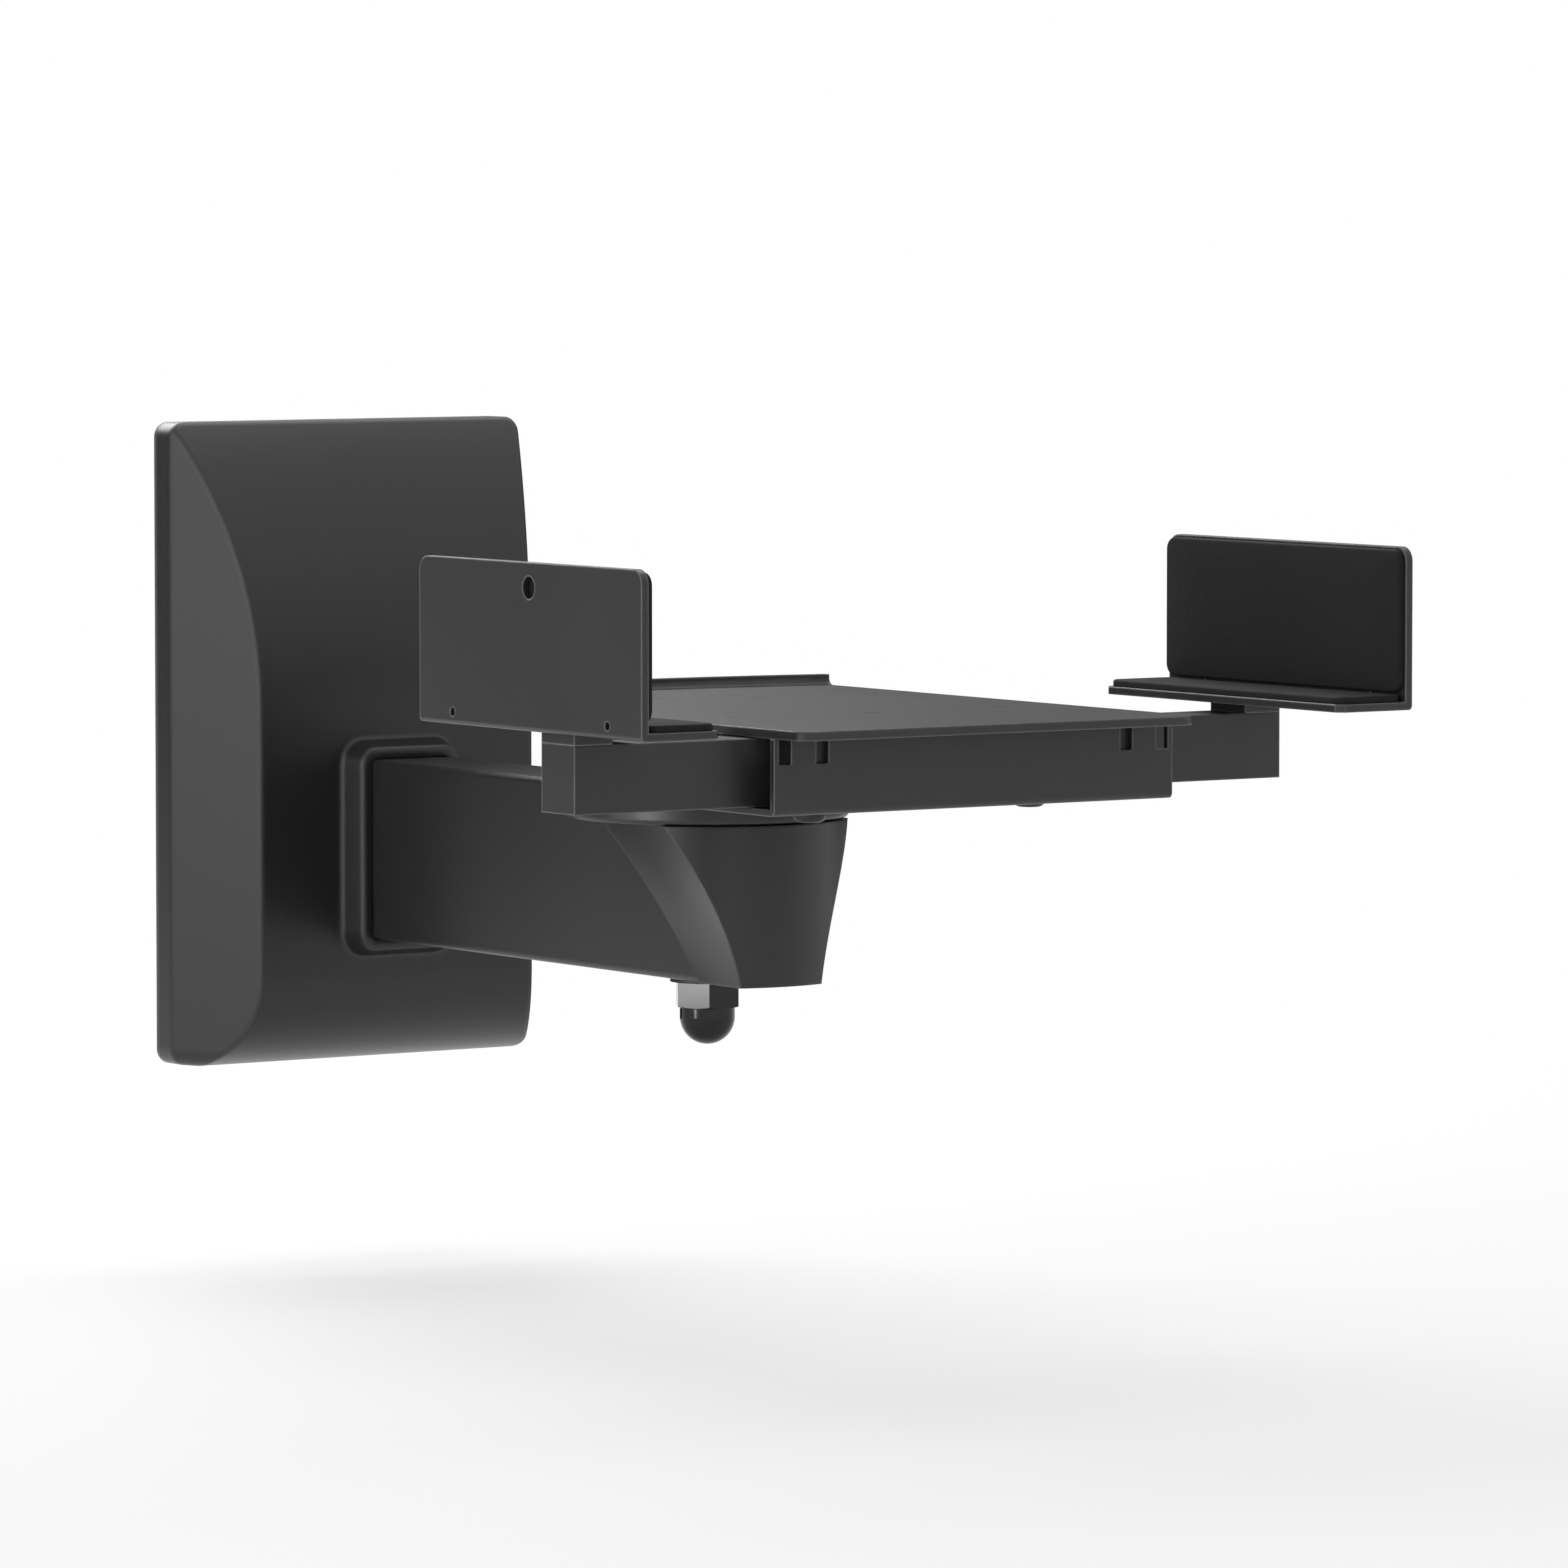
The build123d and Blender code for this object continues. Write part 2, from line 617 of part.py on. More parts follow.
# Clamps: each is a folded side plate with its pads, carried by its own rail
for side, tag in ((-1, "left"), (1, "right")):
    clamp_in_x = clamp_outer_x - clamp_t
    base_in_x = clamp_outer_x - base_reach
    rail_end_x = clamp_outer_x - rail_end_inset
    screw_x = side * (rail_end_x - spacer_len / 2)
    screw_y = rail_mid_y(side)
    with BuildPart() as clamp:
        with BuildSketch(Plane.YZ.offset(side * clamp_in_x)) as plate:
            with Locations((clamp_mid_y, (base_z + clamp_top_z) / 2)):
                Rectangle(clamp_len, clamp_top_z - base_z)
            fillet(plate.vertices().group_by(Axis.Y)[-1], clamp_corner)
            with Locations((clamp_mid_y, clamp_top_z - clamp_hole_drop)):
                Circle(clamp_hole_d / 2, mode=Mode.SUBTRACT)
            with Locations((clamp_mid_y, base_z + clamp_t + relief_d / 2)):
                with GridLocations(relief_pitch, 0, 2, 1):
                    Circle(relief_d / 2, mode=Mode.SUBTRACT)
        extrude(amount=side * clamp_t)
        with BuildSketch(Plane.XY.offset(base_z)):
            base_outline(side, clamp_outer_x, base_in_x, 0)
        extrude(amount=clamp_t)
        bend = clamp.edges().filter_by(Axis.Y).group_by(Axis.Z)[0].sort_by(SortBy.LENGTH)[-1]
        fillet(bend, clamp_bend_r)
        with Locations((screw_x, screw_y, base_z + clamp_t)):
            with GridLocations(0, rail_screw_dy, 1, 2):
                CounterSinkHole(
                    rail_screw_d / 2 + run_gap, rail_screw_head_d / 2 + run_gap, counter_sink_angle=sink_angle
                )
    write(f"clamp_{tag}", clamp.part)

    with BuildPart() as rail:
        rail_mid = (screw_y, rail_bottom_z + rail_h / 2)
        with BuildSketch(Plane.YZ.offset(side * rail_end_x)):
            with Locations(rail_mid):
                Rectangle(rail_d, rail_h)
        extrude(amount=-side * (rail_end_x + rail_overlap))
        with BuildSketch(Plane.YZ.offset(side * (rail_end_x - rail_wall))):
            with Locations(rail_mid):
                Rectangle(rail_d - 2 * rail_wall, rail_h - 2 * rail_wall)
        extrude(amount=-side * (rail_end_x + rail_overlap), mode=Mode.SUBTRACT)
        with Locations((screw_x, screw_y, rail_top_z)):
            with GridLocations(0, rail_screw_dy, 1, 2):
                Cylinder(rail_screw_d / 2 + run_gap, 4 * rail_wall, mode=Mode.SUBTRACT)
    write(f"rail_{tag}", rail.part)

    with BuildPart() as rail_spacer:
        with BuildSketch(Plane.XY.offset(rail_top_z)):
            with Locations((screw_x, screw_y)):
                Rectangle(spacer_len, rail_d)
                with GridLocations(0, rail_screw_dy, 1, 2):
                    Circle(rail_screw_d / 2 + run_gap, mode=Mode.SUBTRACT)
        extrude(amount=base_z - rail_top_z)
    write(f"rail_spacer_{tag}", rail_spacer.part)

    with BuildPart() as rail_screws:
        with Locations((screw_x, screw_y, base_z + clamp_t)):
            with GridLocations(0, rail_screw_dy, 1, 2):
                add(countersunk(rail_screw_d, rail_screw_len, rail_screw_head_d))
    write(f"rail_screws_{tag}", rail_screws.part)

    with BuildPart() as base_pad:
        with BuildSketch(Plane.XY.offset(base_z + clamp_t)):
            base_outline(side, clamp_in_x, base_in_x + pad_margin, pad_margin)
        extrude(amount=pad_t)
    write(f"base_pad_{tag}", base_pad.part)

    with BuildPart() as side_pad:
        pad_foot_z = base_z + clamp_t + pad_t + seat_gap
        pad_h = clamp_top_z - pad_margin - pad_foot_z
        with BuildSketch(Plane.YZ.offset(side * clamp_in_x)):
            with Locations((clamp_mid_y, pad_foot_z + pad_h / 2)):
                RectangleRounded(clamp_len - 2 * pad_margin, pad_h, clamp_corner - pad_margin)
        extrude(amount=-side * pad_t)
    write(f"side_pad_{tag}", side_pad.part)
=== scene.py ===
"""Studio scene of the speaker wall bracket: finishes, pads, cover screws, light and camera."""
import logging
import math
from dataclasses import dataclass
from enum import Enum
from typing import Union

import bpy
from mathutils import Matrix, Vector


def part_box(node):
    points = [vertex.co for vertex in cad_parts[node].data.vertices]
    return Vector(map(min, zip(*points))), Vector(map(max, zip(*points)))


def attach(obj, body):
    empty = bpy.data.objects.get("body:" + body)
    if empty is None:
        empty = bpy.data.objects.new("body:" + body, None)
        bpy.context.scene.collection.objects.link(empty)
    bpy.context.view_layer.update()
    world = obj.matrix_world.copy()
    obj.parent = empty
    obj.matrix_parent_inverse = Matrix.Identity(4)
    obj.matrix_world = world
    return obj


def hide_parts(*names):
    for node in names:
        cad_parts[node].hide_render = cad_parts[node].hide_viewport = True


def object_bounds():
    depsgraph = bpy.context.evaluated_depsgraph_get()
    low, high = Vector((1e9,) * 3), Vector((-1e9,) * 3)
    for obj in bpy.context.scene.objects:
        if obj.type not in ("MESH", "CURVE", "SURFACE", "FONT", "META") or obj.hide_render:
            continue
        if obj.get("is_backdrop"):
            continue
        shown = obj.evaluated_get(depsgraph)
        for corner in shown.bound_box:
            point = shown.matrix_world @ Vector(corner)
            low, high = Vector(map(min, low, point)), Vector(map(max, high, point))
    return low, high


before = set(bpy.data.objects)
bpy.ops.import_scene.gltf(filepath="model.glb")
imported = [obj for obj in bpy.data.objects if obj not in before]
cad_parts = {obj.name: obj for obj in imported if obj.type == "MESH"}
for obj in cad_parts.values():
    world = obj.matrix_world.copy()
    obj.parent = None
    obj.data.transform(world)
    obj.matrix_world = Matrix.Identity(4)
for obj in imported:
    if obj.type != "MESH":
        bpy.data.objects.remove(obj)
LOG = logging.getLogger("wall_bracket")
Number = Union[int, float]
Colour = tuple[float, float, float]
MM = 0.001
EDGE_SAMPLES = 6
NOISE_MID = 0.5
MATT = 0.9
OPEN_BEAM = 180.0
PARALLEL = 0.999
SMOOTH_ANGLE = math.radians(35)
WHITE = (1.0, 1.0, 1.0, 1.0)
MIX_UNDER, MIX_OVER, MIX_RESULT = 6, 7, 2


class Sock:
    """One output socket of a material, with arithmetic that adds Math nodes."""

    def __init__(self, paint: "Paint", socket: bpy.types.NodeSocket) -> None:
        """Keep the socket and the material that it belongs to."""
        self.paint = paint
        self.socket = socket

    def math(
        self, operation: str, first: Union["Sock", Number], second: Union["Sock", Number]
    ) -> "Sock":
        """Add one Math node.

        Args:
            operation: the Math node's operation.
            first: its first value or socket.
            second: its second value or socket.

        Returns:
            The node's result.
        """
        return self.paint.node("ShaderNodeMath", {"operation": operation}, {0: first, 1: second})

    def __add__(self, other: Union["Sock", Number]) -> "Sock":
        """Return self + other."""
        return self.math("ADD", self, other)

    __radd__ = __add__

    def __mul__(self, other: Union["Sock", Number]) -> "Sock":
        """Return self * other."""
        return self.math("MULTIPLY", self, other)

    __rmul__ = __mul__

    def __sub__(self, other: Union["Sock", Number]) -> "Sock":
        """Return self - other."""
        return self.math("SUBTRACT", self, other)

    def __rsub__(self, other: Number) -> "Sock":
        """Return other - self."""
        return self.math("SUBTRACT", other, self)


class Paint:
    """A material in the making, with its node tree and its one shader."""

    def __init__(self, name: str) -> None:
        """Start a material with a bare Principled shader.

        Args:
            name: the material's name.
        """
        self.material = bpy.data.materials.new(name)
        self.material.use_nodes = True
        self.tree = self.material.node_tree
        self.shader = next(n for n in self.tree.nodes if n.type == "BSDF_PRINCIPLED")
        self.place = self.node("ShaderNodeTexCoord", out="Object")

    def node(
        self,
        kind: str,
        settings: dict[str, object] | None = None,
        inputs: dict[Union[int, str], object] | None = None,
        out: Union[int, str] = 0,
    ) -> Sock:
        """Add any node.

        Args:
            kind: the node's type.
            settings: properties that are set first.
            inputs: values or links of its sockets.
            out: the output to return.

        Returns:
            The wanted output.
        """
        made = self.tree.nodes.new(kind)
        for key, value in (settings or {}).items():
            setattr(made, key, value)
        for key, value in (inputs or {}).items():
            self.feed(made.inputs[key], value)
        return Sock(self, made.outputs[out])

    def feed(self, target: bpy.types.NodeSocket, value: object) -> None:
        """Link a socket to a target, or set the target's plain value."""
        if isinstance(value, Sock):
            self.tree.links.new(value.socket, target)
        else:
            target.default_value = value

    def set(self, **values: object) -> None:
        """Set or link the shader's sockets, an underscore standing for a space in a name."""
        for key, value in values.items():
            self.feed(self.shader.inputs[key.replace("_", " ")], value)

    def noise(self, size: float, detail: float = 2.0) -> Sock:
        """Return a noise from 0 to 1.

        Args:
            size: the width of its features in metres.
            detail: the noise's detail.

        Returns:
            The noise's value.
        """
        inputs = {"Vector": self.place, "Scale": 1 / size, "Detail": detail}
        return self.node("ShaderNodeTexNoise", None, inputs, "Fac")

    def blend(self, factor: Sock, under: Union[Sock, Colour], over: Colour) -> Sock:
        """Return a colour that goes from one to another by a factor.

        Args:
            factor: 0 for the colour under, 1 for the colour over.
            under: a colour, or the socket of one.
            over: the colour laid over it.

        Returns:
            The blended colour.
        """
        base = under if isinstance(under, Sock) else (*under, 1.0)
        inputs = {"Factor": factor, MIX_UNDER: base, MIX_OVER: (*over, 1.0)}
        return self.node("ShaderNodeMix", {"data_type": "RGBA"}, inputs, MIX_RESULT)

    def soft_edge(self, radius: float) -> Sock:
        """Return the surface normal with its edges rounded to a radius in metres."""
        return self.node("ShaderNodeBevel", {"samples": EDGE_SAMPLES}, {"Radius": radius}, "Normal")

    def relief(self, height: Sock, depth: float, edge: float) -> Sock:
        """Return a surface normal with a fine relief on softly rounded edges.

        Args:
            height: the relief's height from 0 to 1.
            depth: its depth in metres.
            edge: the radius of the rounded edges in metres.

        Returns:
            The normal.
        """
        inputs = {
            "Strength": 1.0,
            "Distance": depth,
            "Height": height,
            "Normal": self.soft_edge(edge),
        }
        return self.node("ShaderNodeBump", None, inputs)

    def overlay(self, factor: Sock, other: Sock) -> None:
        """Lay another shader over the Principled one by a factor."""
        base = Sock(self, self.shader.outputs[0])
        both = self.node("ShaderNodeMixShader", None, {0: factor, 1: base, 2: other})
        output = next(n for n in self.tree.nodes if n.type == "OUTPUT_MATERIAL")
        self.tree.links.new(both.socket, output.inputs["Surface"])

    def painted_edge_highlight_mask(self, radius: float, gain: float) -> Sock:
        """Return a mask for a painted edge highlight, strong on sharp edges and falling to 0 within
        a radius of them.

        Args:
            radius: how far the painted edge highlight reaches from an edge, in metres.
            gain: how strongly the edge stands out.

        Returns:
            The mask from 0 to 1.
        """
        flat = self.node("ShaderNodeNewGeometry", out="Normal")
        match = self.node(
            "ShaderNodeVectorMath",
            {"operation": "DOT_PRODUCT"},
            {0: self.soft_edge(radius), 1: flat},
            "Value",
        )
        settings = {"operation": "MULTIPLY", "use_clamp": True}
        return self.node("ShaderNodeMath", settings, {0: 1 - match, 1: gain})


@dataclass(frozen=True)
class SatinBlack:
    """Semi-gloss black, sprayed on metal or moulded, with a fine skin of grain and a painted
    highlight of lighter grey on its sharp edges.
    """

    name: str
    tone: float
    rough: float
    grain: float
    grain_depth: float
    edge: float
    shine: float = 0.5
    # Painted edge highlight: its strength, its lighter grey tone, how sharply it follows the edges,
    # and its uneven patches.
    painted_edge_highlight: float = 0.0
    painted_highlight_tone: float = 0.30
    painted_highlight_gain: float = 3.4
    highlight_patch_floor: float = 0.6
    highlight_patch_spread: float = 0.6
    cloud_size: float = 60 * MM
    peel_ratio: float = 9.0
    peel_share: float = 0.4
    dim_tint: Colour = (0.85, 0.86, 0.90)
    lit_tint: Colour = (1.12, 1.13, 1.17)
    grain_rough: float = 0.14
    cloud_rough: float = 0.06

    def make(self) -> bpy.types.Material:
        """Return the finish as a material."""
        paint = Paint(self.name)
        cloud = paint.noise(self.cloud_size, 3.0)
        grain = paint.noise(self.grain, 3.0)
        peel = paint.noise(self.grain * self.peel_ratio, 1.0)
        dim = tuple(self.tone * channel for channel in self.dim_tint)
        lit = tuple(self.tone * channel for channel in self.lit_tint)
        # Painted edge highlight: sharp edges are painted a lighter grey, stronger in some patches
        # than in others.
        highlight_patches = self.highlight_patch_floor + peel * self.highlight_patch_spread
        painted_highlight = paint.painted_edge_highlight_mask(self.edge, self.painted_highlight_gain * self.painted_edge_highlight) * highlight_patches
        uneven = (grain - NOISE_MID) * self.grain_rough + (cloud - NOISE_MID) * self.cloud_rough
        skin = grain * (1 - self.peel_share) + peel * self.peel_share
        paint.set(
            Base_Color=paint.blend(painted_highlight, paint.blend(cloud, dim, lit), (self.painted_highlight_tone,) * 3),
            Roughness=self.rough + uneven,
            Normal=paint.relief(skin, self.grain_depth, self.edge),
            Specular_IOR_Level=self.shine,
        )
        return paint.material


@dataclass(frozen=True)
class PlatedSteel:
    """Plated or blackened steel with faint machining marks and handling smudges."""

    name: str
    colour: Colour
    rough: float
    edge: float = 0.25 * MM
    dim: float = 0.86
    smudge_size: float = 7 * MM
    smudge_rough: float = 0.12
    ring_size: float = 2.5 * MM
    ring_stretch: float = 14.0
    ring_rough: float = 0.08
    ring_depth: float = 0.012 * MM

    def make(self) -> bpy.types.Material:
        """Return the finish as a material."""
        paint = Paint(self.name)
        smudge = paint.noise(self.smudge_size, 4.0)
        stretched = paint.node(
            "ShaderNodeMapping",
            None,
            {"Vector": paint.place, "Scale": (1.0, 1.0, self.ring_stretch)},
        )
        rings = paint.node(
            "ShaderNodeTexNoise",
            None,
            {"Vector": stretched, "Scale": 1 / self.ring_size, "Detail": 2.0},
            "Fac",
        )
        low = tuple(channel * self.dim for channel in self.colour)
        uneven = (smudge - NOISE_MID) * self.smudge_rough + (rings - NOISE_MID) * self.ring_rough
        paint.set(
            Base_Color=paint.blend(smudge, low, self.colour),
            Roughness=self.rough + uneven,
            Metallic=1.0,
            Normal=paint.relief(rings, self.ring_depth, self.edge),
        )
        return paint.material


@dataclass(frozen=True)
class DarkChrome:
    """Polished dark chrome with faint smudges."""

    name: str
    tone: float
    rough: float = 0.09
    edge: float = 0.25 * MM
    dim: float = 0.9
    smudge_size: float = 6 * MM
    smudge_rough: float = 0.06

    def make(self) -> bpy.types.Material:
        """Return the finish as a material."""
        paint = Paint(self.name)
        smudge = paint.noise(self.smudge_size, 3.0)
        paint.set(
            Base_Color=paint.blend(smudge, (self.tone * self.dim,) * 3, (self.tone,) * 3),
            Roughness=self.rough + (smudge - NOISE_MID) * self.smudge_rough,
            Metallic=1.0,
            Normal=paint.soft_edge(self.edge),
        )
        return paint.material


@dataclass(frozen=True)
class SoftPad:
    """Matt rubber sheet with an open, pimpled skin."""

    name: str
    tone: float
    rough: float = 0.82
    shine: float = 0.2
    cell: float = 0.4 * MM
    cell_depth: float = 0.02 * MM
    edge: float = 0.3 * MM
    dust_size: float = 22 * MM
    dust_gain: float = 1.5
    dust_rough: float = 0.1

    def make(self) -> bpy.types.Material:
        """Return the finish as a material."""
        paint = Paint(self.name)
        inputs = {"Vector": paint.place, "Scale": 1 / self.cell}
        cells = paint.node("ShaderNodeTexVoronoi", None, inputs, "Distance")
        dust = paint.noise(self.dust_size, 5.0)
        paint.set(
            Base_Color=paint.blend(dust, (self.tone,) * 3, (self.tone * self.dust_gain,) * 3),
            Roughness=self.rough + (dust - NOISE_MID) * self.dust_rough,
            Normal=paint.relief(cells, self.cell_depth, self.edge),
            Specular_IOR_Level=self.shine,
        )
        return paint.material


@dataclass(frozen=True)
class Nylon:
    """Waxy nylon with soft moulding clouds."""

    name: str
    colour: Colour
    dim: float = 0.9
    rough: float = 0.45
    edge: float = 0.2 * MM
    cloud_size: float = 9 * MM
    cloud_rough: float = 0.15
    grain: float = 0.5 * MM
    grain_depth: float = 0.01 * MM

    def make(self) -> bpy.types.Material:
        """Return the finish as a material."""
        paint = Paint(self.name)
        cloud = paint.noise(self.cloud_size, 3.0)
        low = tuple(channel * self.dim for channel in self.colour)
        paint.set(
            Base_Color=paint.blend(cloud, low, self.colour),
            Roughness=self.rough + (cloud - NOISE_MID) * self.cloud_rough,
            Normal=paint.relief(paint.noise(self.grain), self.grain_depth, self.edge),
        )
        return paint.material


class Finish(Enum):
    """The bracket's finishes."""

    # The last number of each satin black finish is the strength of its painted edge highlight.
    MOULDED = SatinBlack("moulded_black", 0.011, 0.33, 0.35 * MM, 0.010 * MM, 2.6 * MM, 0.50, 0.12)
    CAST = SatinBlack("cast_black", 0.018, 0.33, 0.45 * MM, 0.014 * MM, 0.9 * MM, 0.48, 0.35)
    SHEET = SatinBlack("sheet_black", 0.026, 0.38, 0.40 * MM, 0.014 * MM, 0.8 * MM, 0.48, 0.8)
    ZINC = PlatedSteel("zinc_plate", (0.36, 0.36, 0.355), 0.38)
    CHROME = DarkChrome("dark_chrome", 0.035)
    OXIDE = PlatedSteel("black_oxide", (0.05, 0.05, 0.05), 0.42)
    NYLON = Nylon("pale_nylon", (0.72, 0.71, 0.66))
    DARK_NYLON = Nylon("dark_nylon", (0.014, 0.014, 0.015))
    PAD = SoftPad("pad_rubber", 0.012)


class Wardrobe:
    """Makes each finish once and puts it on pieces."""

    def __init__(self) -> None:
        """Start with no finish made."""
        self.made: dict[Finish, bpy.types.Material] = {}

    def dress(self, piece: bpy.types.Object, finish: Finish) -> None:
        """Give a piece one finish all over.

        Args:
            piece: the object to dress.
            finish: the finish it gets.
        """
        if finish not in self.made:
            self.made[finish] = finish.value.make()
        piece.data.materials.clear()
        piece.data.materials.append(self.made[finish])
        LOG.info("dressed %s in %s", piece.name, finish.value.name)

    def dress_nodes(self, finish: Finish, *names: str) -> None:
        """Give several CAD nodes one finish."""
        for name in names:
            self.dress(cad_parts[name], finish)


class Bench:
    """Modelling steps that several pieces share."""

    @staticmethod
    def clear_selection() -> None:
        """Leave edit mode and deselect everything."""
        if bpy.context.object and bpy.context.object.mode != "OBJECT":
            bpy.ops.object.mode_set(mode="OBJECT")
        bpy.ops.object.select_all(action="DESELECT")

    @staticmethod
    def settle(name: str) -> bpy.types.Object:
        """Put the active object's place into its mesh and name it.

        Args:
            name: the piece's name.

        Returns:
            The piece.
        """
        piece = bpy.context.object
        bpy.ops.object.transform_apply(location=True, rotation=True, scale=True)
        bpy.ops.object.shade_smooth_by_angle(angle=SMOOTH_ANGLE)
        piece.name = name
        piece.data.name = name
        return piece

    @staticmethod
    def pick_edges(piece: bpy.types.Object, along: Vector) -> None:
        """Enter edit mode with only the edges that run along a direction selected."""
        bpy.ops.object.mode_set(mode="EDIT")
        bpy.ops.mesh.select_mode(type="EDGE")
        bpy.ops.mesh.select_all(action="DESELECT")
        bpy.ops.object.mode_set(mode="OBJECT")
        points = piece.data.vertices
        for edge in piece.data.edges:
            start, end = (points[index].co for index in edge.vertices)
            edge.select = abs((end - start).normalized().dot(along)) > PARALLEL
        bpy.ops.object.mode_set(mode="EDIT")

    @staticmethod
    def pick_faces(piece: bpy.types.Object, facing: Vector) -> None:
        """Enter edit mode with only the faces that look in a direction selected."""
        bpy.ops.object.mode_set(mode="EDIT")
        bpy.ops.mesh.select_mode(type="FACE")
        bpy.ops.mesh.select_all(action="DESELECT")
        bpy.ops.object.mode_set(mode="OBJECT")
        for face in piece.data.polygons:
            face.select = face.normal.dot(facing) > PARALLEL
        bpy.ops.object.mode_set(mode="EDIT")

    @staticmethod
    def block(low: Vector, high: Vector) -> bpy.types.Object:
        """Add a block between two corners and return it as the active object."""
        Bench.clear_selection()
        bpy.ops.mesh.primitive_cube_add(size=1.0, location=(low + high) / 2)
        piece = bpy.context.object
        piece.scale = high - low
        bpy.ops.object.transform_apply(location=True, rotation=True, scale=True)
        return piece

    @staticmethod
    def cut(piece: bpy.types.Object, tool: bpy.types.Object) -> None:
        """Cut a tool's shape out of a piece and remove the tool.

        Args:
            piece: the object that is cut, which becomes the active one.
            tool: the object that is taken away.
        """
        Bench.clear_selection()
        bpy.context.view_layer.objects.active = piece
        piece.select_set(True)
        cutter = piece.modifiers.new("cut", "BOOLEAN")
        cutter.operation = "DIFFERENCE"
        cutter.solver = "EXACT"
        cutter.object = tool
        bpy.ops.object.modifier_apply(modifier=cutter.name)
        bpy.data.objects.remove(tool, do_unlink=True)


@dataclass
class GripPad:
    """A thin rubber pad with round corners, a rolled edge and a slightly crowned face."""

    wardrobe: Wardrobe
    node: str
    body: str
    face: Vector
    corner: float = 3.5 * MM
    edge: float = 0.7 * MM
    crown: float = 0.25 * MM
    crown_step: float = 0.75
    crown_shares: tuple[float, ...] = (0.6, 0.4)
    corner_segments: int = 8
    edge_segments: int = 4
    fill: float = 0.9

    def build(self) -> bpy.types.Object:
        """Model the pad in its node's place.

        Returns:
            The finished pad, which rides on its body.
        """
        low, high = (Vector(corner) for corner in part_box(self.node))
        for axis in range(3):
            if self.face[axis] > 0:
                high[axis] -= self.crown
            elif self.face[axis] < 0:
                low[axis] += self.crown
        pad = Bench.block(low, high)
        Bench.pick_edges(pad, self.face)
        bpy.ops.mesh.bevel(offset=self.corner, segments=self.corner_segments, affect="EDGES")
        bpy.ops.object.mode_set(mode="OBJECT")
        Bench.pick_faces(pad, self.face)
        bpy.ops.mesh.bevel(offset=self.edge, segments=self.edge_segments, affect="EDGES")
        bpy.ops.object.mode_set(mode="OBJECT")
        Bench.pick_faces(pad, self.face)
        drawn_in = [1.0 if along else self.crown_step for along in self.face]
        for share in self.crown_shares:
            bpy.ops.mesh.extrude_region_move(
                TRANSFORM_OT_translate={"value": self.face * self.crown * share}
            )
            bpy.ops.transform.resize(value=drawn_in, center_override=(low + high) / 2)
        bpy.ops.object.mode_set(mode="OBJECT")
        Bench.settle(f"{self.node}_rubber")
        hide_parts(self.node)
        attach(pad, self.body)
        self.wardrobe.dress(pad, Finish.PAD)
        return pad


@dataclass
class CoverScrews:
    """The two flush screws that hold the cover, each with a cross recess in its head."""

    wardrobe: Wardrobe
    node: str = "cover_screws"
    sides: int = 40
    rim: float = 0.2 * MM
    neck: float = 1.3 * MM
    shank: float = 1.5 * MM
    length: float = 8.0 * MM
    slot_width: float = 0.7 * MM
    slot_length: float = 3.1 * MM
    slot_depth: float = 1.1 * MM

    def screw(self, seat: Vector, head: float, end: int) -> bpy.types.Object:
        """Model one screw.

        Args:
            seat: the middle of its head's face.
            head: the head's radius.
            end: 1 where it points down from the top, -1 where it points up from the bottom.

        Returns:
            The screw, still unnamed.
        """
        down = Vector((0.0, 0.0, -float(end)))
        Bench.clear_selection()
        bpy.ops.mesh.primitive_cylinder_add(
            vertices=self.sides,
            radius=head,
            depth=self.rim,
            location=seat + down * self.rim / 2,
        )
        screw = bpy.context.object
        bpy.ops.object.transform_apply(location=True, rotation=True, scale=True)
        Bench.pick_faces(screw, down)
        taper = down * (self.neck - self.rim)
        bpy.ops.mesh.extrude_region_move(TRANSFORM_OT_translate={"value": taper})
        narrow = self.shank / head
        bpy.ops.transform.resize(value=(narrow, narrow, 1.0), center_override=seat)
        tip = down * (self.length - self.neck)
        bpy.ops.mesh.extrude_region_move(TRANSFORM_OT_translate={"value": tip})
        bpy.ops.object.mode_set(mode="OBJECT")
        cross = (self.slot_width, self.slot_length)
        for wide, long in (cross, cross[::-1]):
            reach = Vector((wide / 2, long / 2, self.slot_depth))
            Bench.cut(screw, Bench.block(seat - reach, seat + reach))
        return screw

    def build(self) -> bpy.types.Object:
        """Model both screws as one piece in their node's place.

        Returns:
            The finished screws, which ride on the wall body.
        """
        low, high = (Vector(corner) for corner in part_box(self.node))
        middle = (low + high) / 2
        head = (high.x - low.x) / 2
        upper = self.screw(Vector((middle.x, middle.y, high.z)), head, 1)
        lower = self.screw(Vector((middle.x, middle.y, low.z)), head, -1)
        Bench.clear_selection()
        lower.select_set(True)
        upper.select_set(True)
        bpy.context.view_layer.objects.active = upper
        bpy.ops.object.join()
        screws = Bench.settle("cover_cross_screws")
        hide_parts(self.node)
        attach(screws, "wall")
        self.wardrobe.dress(screws, Finish.OXIDE)
        return screws


@dataclass
class WallMount:
    """The wall plate with its cover and screws."""

    wardrobe: Wardrobe

    def build(self) -> None:
        """Model the cover's screws."""
        CoverScrews(self.wardrobe).build()

    def dress(self) -> None:
        """Give the wall pieces their finishes."""
        self.wardrobe.dress_nodes(Finish.MOULDED, "wall_cover")
        self.wardrobe.dress_nodes(Finish.ZINC, "wall_plate", "arm_bolts")


